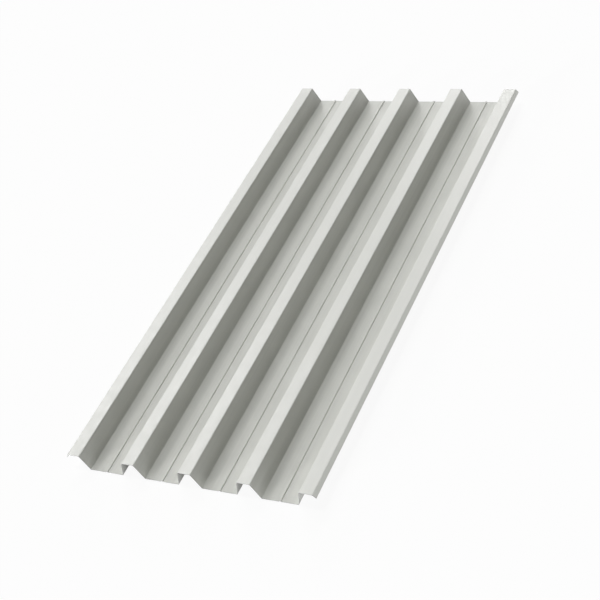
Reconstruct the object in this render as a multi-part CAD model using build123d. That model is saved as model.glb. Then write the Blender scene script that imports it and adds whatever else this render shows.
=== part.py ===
from build123d import *
import os

# Roll-formed deck sheet: one flat strip of coated steel, bent into five crests and four troughs.
# X runs across the waves and Y along the sheet. The undersides of the troughs lie on Z = 0.

# Sizes of the whole sheet, in millimetres
sheet_length = 1870.0
sheet_thickness = 0.8
cover_width = 845.0  # from the middle of the first crest to the middle of the last
wave_count = 4  # waves across the cover width

# One wave, measured on the upper face between the sharp corners of the bends
wave_height = 60.0  # from the trough up to the crest
crest_width = 46.0
web_run = 19.6  # how far a web leans sideways on its way up
bend_radius = 2.5  # inside each bend of crest, web and trough

# The stiffening bead along the middle of every trough, a small flat-topped rib
bead_width = 8.0  # between its feet
bead_top_width = 6.0
bead_height = 3.0
bead_radius = 0.8  # inside its four small bends

# The two side edges: a narrow lip that laps under and a broader flange that laps over
lip_run = 5.2
lip_drop = 11.5
flange_run = 9.2
flange_drop = 13.2

# Levels and spacings that follow
pitch = cover_width / wave_count
trough_level = sheet_thickness
crest_level = trough_level + wave_height
edge_shift = (lip_run - flange_run) / 2  # brings the middle of the overall width to X = 0
first_crest = edge_shift - cover_width / 2


def crest_corners(middle):
    # The two outside bends of a crest, as places and radii
    outer_radius = bend_radius + sheet_thickness
    left = (middle - crest_width / 2, crest_level, outer_radius)
    right = (middle + crest_width / 2, crest_level, outer_radius)
    return [left, right]


def trough_corners(middle):
    # The two inside bends of a trough, with the bead's feet and shoulders between them
    half_width = (pitch - crest_width) / 2 - web_run
    bead_level = trough_level + bead_height
    shoulder_radius = bead_radius + sheet_thickness
    return [
        (middle - half_width, trough_level, bend_radius),
        (middle - bead_width / 2, trough_level, bead_radius),
        (middle - bead_top_width / 2, bead_level, shoulder_radius),
        (middle + bead_top_width / 2, bead_level, shoulder_radius),
        (middle + bead_width / 2, trough_level, bead_radius),
        (middle + half_width, trough_level, bend_radius),
    ]


def section_corners():
    # Every bend of the sheet, from the lip side to the flange side
    corners = crest_corners(first_crest)
    for wave in range(wave_count):
        crest = first_crest + (wave + 1) * pitch
        corners += trough_corners(crest - pitch / 2)
        corners += crest_corners(crest)
    return corners


def sheet_section():
    # The bent line of the upper face, thickened downwards into the sheet's cross-section
    corners = section_corners()
    lip_tip = (corners[0][0] - lip_run, crest_level - lip_drop)
    flange_tip = (corners[-1][0] + flange_run, crest_level - flange_drop)
    points = [lip_tip] + [(x, z) for x, z, radius in corners] + [flange_tip]
    radii = [radius for x, z, radius in corners]
    upper_line = FilletPolyline(*points, radius=radii)
    return make_face(offset(upper_line, amount=sheet_thickness, side=Side.RIGHT).edges())


def corrugated_sheet():
    # The section drawn out to both sides of the sheet's middle, with square sheared ends
    return extrude(Plane.XZ * sheet_section(), amount=sheet_length / 2, both=True)


os.makedirs("parts", exist_ok=True)
sheet = corrugated_sheet()
sheet.label = "corrugated_sheet"
export_step(sheet, "parts/corrugated_sheet.step")
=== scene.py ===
import math
import bpy
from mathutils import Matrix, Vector


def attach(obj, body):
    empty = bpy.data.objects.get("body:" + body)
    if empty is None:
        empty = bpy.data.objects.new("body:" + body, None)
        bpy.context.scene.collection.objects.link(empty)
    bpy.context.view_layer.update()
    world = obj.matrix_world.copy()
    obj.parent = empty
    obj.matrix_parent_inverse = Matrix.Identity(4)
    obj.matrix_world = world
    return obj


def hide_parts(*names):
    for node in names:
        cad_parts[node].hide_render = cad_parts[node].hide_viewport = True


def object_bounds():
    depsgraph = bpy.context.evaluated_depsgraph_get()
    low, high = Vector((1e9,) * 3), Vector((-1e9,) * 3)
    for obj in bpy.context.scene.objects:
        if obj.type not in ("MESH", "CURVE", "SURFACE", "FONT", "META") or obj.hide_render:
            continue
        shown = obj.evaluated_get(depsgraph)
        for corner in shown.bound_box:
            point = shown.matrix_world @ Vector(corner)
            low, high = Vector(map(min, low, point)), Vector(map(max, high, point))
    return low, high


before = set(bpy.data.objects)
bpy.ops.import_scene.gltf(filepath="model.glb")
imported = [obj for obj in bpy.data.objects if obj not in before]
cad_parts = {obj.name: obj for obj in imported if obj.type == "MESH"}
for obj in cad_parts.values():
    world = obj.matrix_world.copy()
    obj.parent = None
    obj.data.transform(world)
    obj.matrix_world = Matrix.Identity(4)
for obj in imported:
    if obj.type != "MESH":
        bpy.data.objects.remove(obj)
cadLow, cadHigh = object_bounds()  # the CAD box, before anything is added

mm = 0.001  # sizes below are in millimetres, Blender lengths in metres
noiseLow, noiseMean, noiseHigh = 0.3, 0.5, 0.7  # nearly all values of a noise texture lie in this span
mixShare, mixFirst, mixSecond, mixResult = 0, 6, 7, 2  # sockets of a Mix node that mixes colours
print("frame loaded, sheet of", [round(side / mm, 1) for side in cadHigh - cadLow], "mm")


def linearFromHex(hexColour):
    # undoes the sRGB curve
    channels = [int(hexColour[i:i + 2], 16) / 255 for i in (1, 3, 5)]
    lit = [c / 12.92 if c <= 0.04045 else ((c + 0.055) / 1.055) ** 2.4 for c in channels]
    return (*lit, 1.0)


def perMetre(size):
    # texture scale whose features are that many millimetres wide
    return 1 / (size * mm)


def addNode(tree, kind, settings=(), values=(), links=()):
    # settings of the node, values of its sockets and links into them, each a dictionary or left out
    node = tree.nodes.new(kind)
    for name, value in dict(settings).items():
        setattr(node, name, value)
    for socket, value in dict(values).items():
        node.inputs[socket].default_value = value
    for socket, source in dict(links).items():
        tree.links.new(source, node.inputs[socket])
    return node


def newMaterial(name):
    material = bpy.data.materials.new(name)
    material.use_nodes = True
    material.node_tree.nodes.clear()
    return material, material.node_tree


# Weather side: polyester paint, rolled onto the coil and baked before the sheet is bent.
# It gives a satin, faintly green grey-white, with soft clouds of tone and a trace of the roll's streaks.
weatherCoat = {
    "deep": "#cecfc9",
    "pale": "#d6d7d1",
    "cloud": 180.0,  # width of a cloud of tone
    "streakWidth": 9.0,  # streaks of the coating roll, along the sheet
    "streakLength": 1200.0,
    "toneSpan": (0.7, 1.3),  # clouds and streaks added up, from deep to pale
    "bendWhiteningAndHighlight": "#e2e3de",  # over the bends: partly the coat stretched and rubbed by the forming rolls, partly a painted highlight along the bend edges
    "bendWhiteningAndHighlightShare": 0.4,
    "crestPaintedLight": "#dadbd5",  # painted light: the crests are paler than the rest of the coat, standing in for the stronger light on them
    "crestPaintedLightShare": 0.5,
    "crestLightAndPolishDepth": 1.4,  # how far down from the crests the painted light and the polish reach
    "chipped": "#a9aaa7",  # a fine line along the sheared ends, where the blade cracks the coat
    "chippedWidth": 1.2,
    "chippedGrain": 4.0,
    "smooth": 0.51,  # roughness where the coat levelled out, and where it stayed duller
    "dull": 0.61,
    "dullPatch": 30.0,
    "bendPolish": -0.06,  # change of roughness on a bend, polished by the forming rolls
    "crestPolish": -0.23,  # and on a crest, polished in the stack
    "peel": 5.0,  # orange peel, about 1 mm on the real coat, drawn coarser so that it shows
    "peelDepth": 0.012,
    "slack": 110.0,  # slack in the flat panels, across the sheet
    "slackLength": 420.0,
    "slackDepth": 0.5,
    "ior": 1.5,
}


def makeWeatherCoat(look):
    material, tree = newMaterial("polyesterCoilCoat")
    place = addNode(tree, "ShaderNodeTexCoord").outputs["Object"]
    axes = addNode(tree, "ShaderNodeSeparateXYZ", links={"Vector": place})
    # masks: 1 at the middle of a bend, and 1 on a crest
    bend = addNode(tree, "ShaderNodeAttribute", {"attribute_name": "bend"}).outputs["Fac"]
    crest = addNode(tree, "ShaderNodeMapRange", values={
        "From Min": cadHigh.z - look["crestLightAndPolishDepth"] * mm, "From Max": cadHigh.z}, links={
        "Value": axes.outputs["Z"]}).outputs[0]
    # tone of the flat coat
    clouds = addNode(tree, "ShaderNodeTexNoise", values={
        "Scale": perMetre(look["cloud"]), "Detail": 3.0}, links={"Vector": place})
    lengthwise = addNode(tree, "ShaderNodeMapping", values={
        "Scale": (1, look["streakWidth"] / look["streakLength"], 1)}, links={"Vector": place})
    streaks = addNode(tree, "ShaderNodeTexNoise", values={
        "Scale": perMetre(look["streakWidth"]), "Detail": 2.0}, links={"Vector": lengthwise.outputs[0]})
    both = addNode(tree, "ShaderNodeMath", {"operation": "ADD"}, links={
        0: clouds.outputs["Fac"], 1: streaks.outputs["Fac"]})
    tone = addNode(tree, "ShaderNodeMapRange", values={
        "From Min": look["toneSpan"][0], "From Max": look["toneSpan"][1]}, links={
        "Value": both.outputs[0]})
    flat = addNode(tree, "ShaderNodeMix", {"data_type": "RGBA"}, {
        mixFirst: linearFromHex(look["deep"]), mixSecond: linearFromHex(look["pale"])}, {
        mixShare: tone.outputs[0]})
    # paler over the bends, partly stretched coat and partly a painted highlight, and on the crests,
    # painted light
    bendShare = addNode(tree, "ShaderNodeMath", {"operation": "MULTIPLY"}, {
        1: look["bendWhiteningAndHighlightShare"]}, {0: bend})
    # partly a painted highlight: the bends turn paler, like the light line a bend catches
    bendWhiteningAndHighlight = addNode(tree, "ShaderNodeMix", {"data_type": "RGBA"}, {
        mixSecond: linearFromHex(look["bendWhiteningAndHighlight"])}, {
        mixShare: bendShare.outputs[0], mixFirst: flat.outputs[mixResult]})
    # painted light: the crest tops turn paler, as if more light fell on them than in the troughs
    crestPaintedLightMask = addNode(tree, "ShaderNodeMath", {"operation": "MULTIPLY"}, {
        1: look["crestPaintedLightShare"]}, {0: crest})
    crestPaintedLight = addNode(tree, "ShaderNodeMix", {"data_type": "RGBA"}, {
        mixSecond: linearFromHex(look["crestPaintedLight"])}, {
        mixShare: crestPaintedLightMask.outputs[0], mixFirst: bendWhiteningAndHighlight.outputs[mixResult]})
    # grey chips along both ends, in an uneven line that is chippedWidth wide on average
    fromMiddle = addNode(tree, "ShaderNodeMath", {"operation": "ABSOLUTE"}, links={0: axes.outputs["Y"]})
    cracks = addNode(tree, "ShaderNodeTexNoise", values={
        "Scale": perMetre(look["chippedGrain"])}, links={"Vector": place})
    chipReach = addNode(tree, "ShaderNodeMath", {"operation": "MULTIPLY_ADD"}, {
        1: look["chippedWidth"] * mm / noiseMean}, {0: cracks.outputs["Fac"], 2: fromMiddle.outputs[0]})
    chips = addNode(tree, "ShaderNodeMath", {"operation": "GREATER_THAN"}, {
        1: cadHigh.y}, {0: chipReach.outputs[0]})
    colour = addNode(tree, "ShaderNodeMix", {"data_type": "RGBA"}, {
        mixSecond: linearFromHex(look["chipped"])}, {
        mixShare: chips.outputs[0], mixFirst: crestPaintedLight.outputs[mixResult]})
    # satin, smoother on the bends and crests
    patches = addNode(tree, "ShaderNodeTexNoise", values={
        "Scale": perMetre(look["dullPatch"]), "Detail": 4.0}, links={"Vector": place})
    satin = addNode(tree, "ShaderNodeMapRange", values={
        "From Min": noiseLow, "From Max": noiseHigh,
        "To Min": look["smooth"], "To Max": look["dull"]}, links={"Value": patches.outputs["Fac"]})
    rolled = addNode(tree, "ShaderNodeMath", {"operation": "MULTIPLY_ADD"}, {
        1: look["bendPolish"]}, {0: bend, 2: satin.outputs[0]})
    roughness = addNode(tree, "ShaderNodeMath", {"operation": "MULTIPLY_ADD"}, {
        1: look["crestPolish"]}, {0: crest, 2: rolled.outputs[0]})
    # slack panels under orange peel
    panels = addNode(tree, "ShaderNodeMapping", values={
        "Scale": (1, look["slack"] / look["slackLength"], 1)}, links={"Vector": place})
    slack = addNode(tree, "ShaderNodeTexNoise", values={
        "Scale": perMetre(look["slack"]), "Detail": 0.0}, links={"Vector": panels.outputs[0]})
    peel = addNode(tree, "ShaderNodeTexNoise", values={
        "Scale": perMetre(look["peel"]), "Detail": 1.0}, links={"Vector": place})
    waves = addNode(tree, "ShaderNodeBump", values={
        "Distance": look["slackDepth"] * mm}, links={"Height": slack.outputs["Fac"]})
    skin = addNode(tree, "ShaderNodeBump", values={
        "Distance": look["peelDepth"] * mm}, links={
        "Height": peel.outputs["Fac"], "Normal": waves.outputs[0]})
    shader = addNode(tree, "ShaderNodeBsdfPrincipled", values={"IOR": look["ior"]}, links={
        "Base Color": colour.outputs[mixResult],
        "Roughness": roughness.outputs[0], "Normal": skin.outputs[0]})
    addNode(tree, "ShaderNodeOutputMaterial", links={"Surface": shader.outputs["BSDF"]})
    return material


# Underside: a thin epoxy primer over the zinc. It is duller and greyer than the weather side,
# and thin enough for the zinc's spangle to ghost through.
backCoat = {
    "deep": "#c3c4c0",
    "pale": "#cecfcb",
    "spangle": 16.0,  # width of a zinc flower
    "mottle": 60.0,  # patches of thicker and thinner primer
    "toneSpan": (0.2, 1.8),  # flower and mottle added up, from deep to pale
    "smooth": 0.52,  # roughness, least and most
    "dull": 0.64,
    "grain": 4.0,  # grain of the primer, finer on the real one, drawn coarser so that it shows
    "grainDepth": 0.015,
    "ior": 1.5,
}


def makeBackCoat(look):
    material, tree = newMaterial("epoxyBackPrimer")
    place = addNode(tree, "ShaderNodeTexCoord").outputs["Object"]
    flowers = addNode(tree, "ShaderNodeTexVoronoi", values={
        "Scale": perMetre(look["spangle"])}, links={"Vector": place})
    flower = addNode(tree, "ShaderNodeSeparateColor", links={"Color": flowers.outputs["Color"]})
    mottle = addNode(tree, "ShaderNodeTexNoise", values={
        "Scale": perMetre(look["mottle"]), "Detail": 4.0}, links={"Vector": place})
    both = addNode(tree, "ShaderNodeMath", {"operation": "ADD"}, links={
        0: flower.outputs[0], 1: mottle.outputs["Fac"]})
    tone = addNode(tree, "ShaderNodeMapRange", values={
        "From Min": look["toneSpan"][0], "From Max": look["toneSpan"][1]}, links={
        "Value": both.outputs[0]})
    colour = addNode(tree, "ShaderNodeMix", {"data_type": "RGBA"}, {
        mixFirst: linearFromHex(look["deep"]), mixSecond: linearFromHex(look["pale"])}, {
        mixShare: tone.outputs[0]})
    roughness = addNode(tree, "ShaderNodeMapRange", values={
        "From Min": noiseLow, "From Max": noiseHigh,
        "To Min": look["smooth"], "To Max": look["dull"]}, links={"Value": mottle.outputs["Fac"]})
    grain = addNode(tree, "ShaderNodeTexNoise", values={
        "Scale": perMetre(look["grain"]), "Detail": 2.0}, links={"Vector": place})
    skin = addNode(tree, "ShaderNodeBump", values={
        "Distance": look["grainDepth"] * mm}, links={"Height": grain.outputs["Fac"]})
    shader = addNode(tree, "ShaderNodeBsdfPrincipled", values={"IOR": look["ior"]}, links={
        "Base Color": colour.outputs[mixResult],
        "Roughness": roughness.outputs[0], "Normal": skin.outputs[0]})
    addNode(tree, "ShaderNodeOutputMaterial", links={"Surface": shader.outputs["BSDF"]})
    return material


# Rim: bare galvanised steel, sheared after painting. Bright and grey, torn into fine nicks by the blade.
cutEdge = {
    "deep": "#a2a4a5",
    "pale": "#c2c4c4",
    "nick": 1.5,  # nicks left by the shear, a few tenths of a millimetre really, drawn coarser to show
    "nickDepth": 0.02,
    "smooth": 0.28,  # roughness, least and most
    "dull": 0.5,
}


def makeCutEdge(look):
    material, tree = newMaterial("shearedGalvanisedSteel")
    place = addNode(tree, "ShaderNodeTexCoord").outputs["Object"]
    nicks = addNode(tree, "ShaderNodeTexNoise", values={
        "Scale": perMetre(look["nick"]), "Detail": 3.0}, links={"Vector": place})
    torn = addNode(tree, "ShaderNodeMapRange", values={
        "From Min": noiseLow, "From Max": noiseHigh}, links={"Value": nicks.outputs["Fac"]})
    colour = addNode(tree, "ShaderNodeMix", {"data_type": "RGBA"}, {
        mixFirst: linearFromHex(look["deep"]), mixSecond: linearFromHex(look["pale"])}, {
        mixShare: torn.outputs[0]})
    roughness = addNode(tree, "ShaderNodeMapRange", values={
        "To Min": look["dull"], "To Max": look["smooth"]}, links={"Value": torn.outputs[0]})
    blade = addNode(tree, "ShaderNodeBump", values={
        "Distance": look["nickDepth"] * mm}, links={"Height": nicks.outputs["Fac"]})
    shader = addNode(tree, "ShaderNodeBsdfPrincipled", values={"Metallic": 1.0}, links={
        "Base Color": colour.outputs[mixResult],
        "Roughness": roughness.outputs[0], "Normal": blade.outputs[0]})
    addNode(tree, "ShaderNodeOutputMaterial", links={"Surface": shader.outputs["BSDF"]})
    return material


# The sheet, folded panel by panel from its first crest, as the roll former bends it
sheet = {
    "thickness": 0.8,
    "coverWidth": 845.0,  # first crest's middle to last crest's middle
    "waves": 4,
    "waveHeight": 60.0,  # trough to crest, on the weather side
    "crestWidth": 46.0,
    "webRun": 19.6,  # sideways lean of a web
    "bendRadius": 2.5,  # inside the main bends
    "bendSegments": 6,
    "beadWidth": 8.0,  # stiffening bead in a trough, between its feet
    "beadTopWidth": 6.0,
    "beadHeight": 3.0,
    "beadRadius": 0.8,
    "beadSegments": 4,
    "lipRun": 5.2,  # left edge, outwards and down
    "lipDrop": 11.5,
    "flangeRun": 9.2,  # right edge
    "flangeDrop": 13.2,
    "lengthSteps": 48,  # rows of faces along the sheet
    "rimBevel": 0.1,  # burnished corner of the sheared rim
    "rimSegments": 2,
    "rimAngle": 60.0,  # edges sharper than this are rim
    "smoothAngle": 40.0,  # and edges flatter than this are shaded smooth
}


def workOutSizes(size):
    # adds the sizes that follow from those above
    pitch = size["coverWidth"] / size["waves"]
    halfCrest = size["crestWidth"] / 2
    troughWidth = pitch - size["crestWidth"] - 2 * size["webRun"]
    return {
        **size,
        "pitch": pitch,
        "halfCrest": halfCrest,
        "firstCrest": cadLow.x / mm + size["lipRun"] + halfCrest,  # its middle
        "troughWidth": troughWidth,
        "troughFlat": (troughWidth - size["beadWidth"]) / 2,  # on each side of the bead
        "beadRun": (size["beadWidth"] - size["beadTopWidth"]) / 2,
        "low": size["thickness"],  # weather side of the troughs
        "high": size["thickness"] + size["waveHeight"],  # and of the crests
    }


def foldStep(run, rise):
    # draws the selected edge row out into the next flat panel
    step = {"value": (run * mm, 0, rise * mm)}
    bpy.ops.mesh.extrude_region_move(TRANSFORM_OT_translate=step)


def selectFolds(mesh, places):
    # selects the long edges that lie on the given (x, z) places
    bpy.ops.mesh.select_all(action="DESELECT")
    bpy.ops.object.mode_set(mode="OBJECT")
    near = 0.05 * mm
    for edge in mesh.edges:
        a, b = (mesh.vertices[i].co for i in edge.vertices)
        runsAlong = abs(a.x - b.x) < near and abs(a.z - b.z) < near
        onFold = any(abs(a.x - x * mm) < near and abs(a.z - z * mm) < near for x, z in places)
        edge.select = runsAlong and onFold
    bpy.ops.object.mode_set(mode="EDIT")


def foldSheet(size):
    bpy.ops.object.select_all(action="DESELECT")
    # first crest, already divided along its length
    bpy.ops.mesh.primitive_grid_add(x_subdivisions=1, y_subdivisions=size["lengthSteps"], size=1)
    piece = bpy.context.object
    piece.name = piece.data.name = "corrugatedSheet"
    piece.dimensions = (size["crestWidth"] * mm, cadHigh.y - cadLow.y, 0)
    piece.location = (size["firstCrest"] * mm, (cadLow.y + cadHigh.y) / 2, size["high"] * mm)
    bpy.ops.object.transform_apply(location=True, rotation=True, scale=True)
    bpy.ops.object.mode_set(mode="EDIT")
    bpy.ops.mesh.select_mode(type="EDGE")
    # rightwards: web, trough flat, bead, trough flat, web, crest, wave after wave, and the flange
    selectFolds(piece.data, [(size["firstCrest"] + size["halfCrest"], size["high"])])
    for wave in range(size["waves"]):
        foldStep(size["webRun"], -size["waveHeight"])
        foldStep(size["troughFlat"], 0)
        foldStep(size["beadRun"], size["beadHeight"])
        foldStep(size["beadTopWidth"], 0)
        foldStep(size["beadRun"], -size["beadHeight"])
        foldStep(size["troughFlat"], 0)
        foldStep(size["webRun"], size["waveHeight"])
        foldStep(size["crestWidth"], 0)
    foldStep(size["flangeRun"], -size["flangeDrop"])
    # leftwards: the lip
    selectFolds(piece.data, [(size["firstCrest"] - size["halfCrest"], size["high"])])
    foldStep(-size["lipRun"], -size["lipDrop"])
    bpy.ops.mesh.select_all(action="SELECT")
    bpy.ops.mesh.normals_make_consistent(inside=False)
    return piece


def listBends(size):
    # the folds by kind: their (x, z) places, the radius on the weather side, the turn and the segments
    low, high, beadHigh = size["low"], size["high"], size["low"] + size["beadHeight"]
    crests = [size["firstCrest"] + wave * size["pitch"] for wave in range(size["waves"] + 1)]
    troughs = [(a + b) / 2 for a, b in zip(crests, crests[1:])]
    crestFolds = [(x + side * size["halfCrest"], high) for x in crests for side in (-1, 1)]
    troughFolds = [(x + side * size["troughWidth"] / 2, low) for x in troughs for side in (-1, 1)]
    beadFeet = [(x + side * size["beadWidth"] / 2, low) for x in troughs for side in (-1, 1)]
    beadShoulders = [(x + side * size["beadTopWidth"] / 2, beadHigh) for x in troughs for side in (-1, 1)]
    outerRadius = size["bendRadius"] + size["thickness"]
    shoulderRadius = size["beadRadius"] + size["thickness"]
    lipTurn = math.atan2(size["lipDrop"], size["lipRun"])
    webTurn = math.atan2(size["waveHeight"], size["webRun"])
    flangeTurn = math.atan2(size["flangeDrop"], size["flangeRun"])
    beadTurn = math.atan2(size["beadHeight"], size["beadRun"])
    return [
        (crestFolds[:1], outerRadius, lipTurn, size["bendSegments"]),
        (crestFolds[1:-1], outerRadius, webTurn, size["bendSegments"]),
        (crestFolds[-1:], outerRadius, flangeTurn, size["bendSegments"]),
        (troughFolds, size["bendRadius"], webTurn, size["bendSegments"]),
        (beadFeet, size["beadRadius"], beadTurn, size["beadSegments"]),
        (beadShoulders, shoulderRadius, beadTurn, size["beadSegments"]),
    ]


def roundFolds(mesh, places, radius, turn, segments):
    # bends the chosen folds to an arc of that radius
    selectFolds(mesh, places)
    tangent = radius * math.tan(turn / 2)
    bpy.ops.mesh.bevel(
        offset=tangent * mm, segments=segments, profile=0.5, affect="EDGES", clamp_overlap=False)


def markBends(mesh, bends):
    # stores how far each point lies inside a bend: 0 on a flat panel, 1 at the middle of the arc
    marks = mesh.attributes.new("bend", "FLOAT", "POINT")
    for vertex in mesh.vertices:
        depth = 0.0
        for places, radius, turn, segments in bends:
            start = radius * math.tan(turn / 2)  # from the sharp corner to where the arc begins
            middle = radius / math.cos(turn / 2) - radius  # and to the middle of the arc
            for x, z in places:
                gap = math.hypot(vertex.co.x / mm - x, vertex.co.z / mm - z)
                depth = max(depth, (start - gap) / (start - middle))
        marks.data[vertex.index].value = min(depth, 1.0)


def giveGauge(piece, size):
    # thickens the folded skin, and burnishes its rim
    wall = piece.modifiers.new("gauge", "SOLIDIFY")
    wall.thickness = size["thickness"] * mm
    wall.offset = -1  # down from the weather side
    wall.use_even_offset = True
    wall.material_offset = 1  # underside takes the second coat, the rim the third
    wall.material_offset_rim = 2
    rim = piece.modifiers.new("shearedRim", "BEVEL")
    rim.width = size["rimBevel"] * mm
    rim.segments = size["rimSegments"]
    rim.limit_method = "ANGLE"
    rim.angle_limit = math.radians(size["rimAngle"])
    bpy.ops.object.shade_smooth_by_angle(angle=math.radians(size["smoothAngle"]))
    weighted = piece.modifiers.new("flatPanels", "WEIGHTED_NORMAL")
    weighted.keep_sharp = True
    for name in [m.name for m in piece.modifiers]:
        bpy.ops.object.modifier_apply(modifier=name)


def makeSheet(size, coats):
    fullSize = workOutSizes(size)
    piece = foldSheet(fullSize)
    bends = listBends(fullSize)
    for places, radius, turn, segments in bends:
        roundFolds(piece.data, places, radius, turn, segments)
    bpy.ops.object.mode_set(mode="OBJECT")
    markBends(piece.data, bends)
    for coat in coats:
        piece.data.materials.append(coat)
    giveGauge(piece, fullSize)
    return piece


coats = [makeWeatherCoat(weatherCoat), makeBackCoat(backCoat), makeCutEdge(cutEdge)]
print("coats mixed,", ", ".join(coat.name for coat in coats))
sheetPiece = makeSheet(sheet, coats)
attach(sheetPiece, "root")
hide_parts("corrugated_sheet")
print("sheet modelled,", len(sheetPiece.data.polygons), "faces")


# Studio: a white floor that keeps a faint shadow, under a white backdrop
studio = {
    "floorSide": 40000.0,
    "floorGap": 0.5,  # floor lies just under the sheet
    "floorColour": "#fcfcfc",
    "shadowShare": 0.07,  # how much of the floor's own shading shows
}


def addSeenRay(tree):
    # 1 for the rays that see the background: straight, mirrored or through glass
    path = addNode(tree, "ShaderNodeLightPath")
    seen = addNode(tree, "ShaderNodeMath", {"operation": "MAXIMUM"}, links={
        0: path.outputs["Is Camera Ray"], 1: path.outputs["Is Glossy Ray"]})
    return addNode(tree, "ShaderNodeMath", {"operation": "MAXIMUM"}, links={
        0: seen.outputs[0], 1: path.outputs["Is Transmission Ray"]})


def makeFloor(look):
    bpy.ops.object.select_all(action="DESELECT")
    bpy.ops.mesh.primitive_plane_add(size=look["floorSide"] * mm, location=(0, 0, -look["floorGap"] * mm))
    floor = bpy.context.object
    floor.name = "studioFloor"
    material, tree = newMaterial("paleStudioFloor")
    shaded = addNode(tree, "ShaderNodeBsdfDiffuse", values={"Color": linearFromHex(look["floorColour"])})
    white = addNode(tree, "ShaderNodeEmission", values={"Strength": 1.0})
    share = addNode(tree, "ShaderNodeMath", {"operation": "MULTIPLY"}, {
        1: 1 - look["shadowShare"]}, {0: addSeenRay(tree).outputs[0]})
    mix = addNode(tree, "ShaderNodeMixShader", links={
        "Fac": share.outputs[0], 1: shaded.outputs[0], 2: white.outputs[0]})
    addNode(tree, "ShaderNodeOutputMaterial", links={"Surface": mix.outputs[0]})
    floor.data.materials.append(material)


def makeBackdrop():
    # white to look at, and no light of its own on the sheet
    world = bpy.data.worlds.new("whiteBackdrop")
    bpy.context.scene.world = world
    world.use_nodes = True
    tree = world.node_tree
    tree.nodes.clear()
    white = addNode(tree, "ShaderNodeBackground", values={"Color": (1, 1, 1, 1)}, links={
        "Strength": addSeenRay(tree).outputs[0]})
    addNode(tree, "ShaderNodeOutputWorld", links={"Surface": white.outputs[0]})


# Far, broad lamps, in degrees. Across counts from the right side over the zenith to the left side,
# along leans a lamp to the far end or, below 0, to the near end, and spread is how broad it looks.
# A strength of 1, straight on, shows a colour about as it is written.
banks = [
    {"name": "overheadBank", "across": 105, "along": 4, "spread": 12, "strength": 0.367},
    {"name": "leftBank", "across": 131, "along": 28, "spread": 17, "strength": 0.22},
    {"name": "farBank", "across": 119, "along": 50, "spread": 15, "strength": 0.155},
    {"name": "lowFarBank", "across": 158.5, "along": 56.5, "spread": 10, "strength": 0.283},
    {"name": "lowNearBank", "across": 160, "along": -54, "spread": 10, "strength": 0.455},
    {"name": "lowRightBank", "across": 12, "along": -11, "spread": 15.5, "strength": 0.111},
]
bankDistance = 4000.0


def makeBank(look):
    bpy.ops.object.select_all(action="DESELECT")
    across, along = math.radians(look["across"]), math.radians(look["along"])
    sideways, upwards = math.cos(across) * math.cos(along), math.sin(across) * math.cos(along)
    towards = Vector((sideways, math.sin(along), upwards))
    bpy.ops.object.light_add(type="SUN", location=towards * bankDistance * mm)
    lamp = bpy.context.object
    lamp.name = look["name"]
    lamp.data.energy = look["strength"] * math.pi
    lamp.data.angle = math.radians(look["spread"])
    lamp.rotation_euler = (-towards).to_track_quat("-Z", "Y").to_euler()


# A long white card, no taller than the sheet, that lifts the flange and the open ends from the right.
# It lights the sheet alone, because it would draw a bright stripe on the floor.
bounceCard = {
    "place": (2000.0, 0.0, 45.0),
    "height": 60.0,
    "length": 6000.0,
    "power": 18.5,  # W
}


def makeBounceCard(look, lit):
    bpy.ops.object.select_all(action="DESELECT")
    bpy.ops.object.light_add(type="AREA", location=Vector(look["place"]) * mm)
    lamp = bpy.context.object
    lamp.name = "bounceCard"
    lamp.data.shape = "RECTANGLE"
    lamp.data.size = look["height"] * mm
    lamp.data.size_y = look["length"] * mm
    lamp.data.energy = look["power"]
    lamp.rotation_euler = (0, math.pi / 2, 0)  # stands upright and faces the flange
    lamp.visible_camera = False
    reached = bpy.data.collections.new("litByCard")
    reached.objects.link(lit)
    lamp.light_linking.receiver_collection = reached


# Camera: long lens, from the front right and above, rolled so that the sheet runs up the picture
camera = {
    "lens": 85.93,
    "sensor": 36.0,
    "place": (2396.2, -2949.8, 3078.9),
    "turn": (47.732, 17.776, 24.722),  # degrees about X, Y and Z
    "farthest": 100000.0,
}


def makeCamera(view):
    place = Vector(view["place"]) * mm
    bpy.ops.object.camera_add(location=place, rotation=[math.radians(a) for a in view["turn"]])
    shot = bpy.context.object
    shot.name = "photoCamera"
    shot.data.lens = view["lens"]
    shot.data.sensor_width = view["sensor"]
    shot.data.clip_end = view["farthest"] * mm
    bpy.context.scene.camera = shot


makeFloor(studio)
makeBackdrop()
for bank in banks:
    makeBank(bank)
makeBounceCard(bounceCard, sheetPiece)
makeCamera(camera)
bpy.context.scene.view_settings.view_transform = "Standard"
print("studio set,", len(banks), "banks and a bounce card")
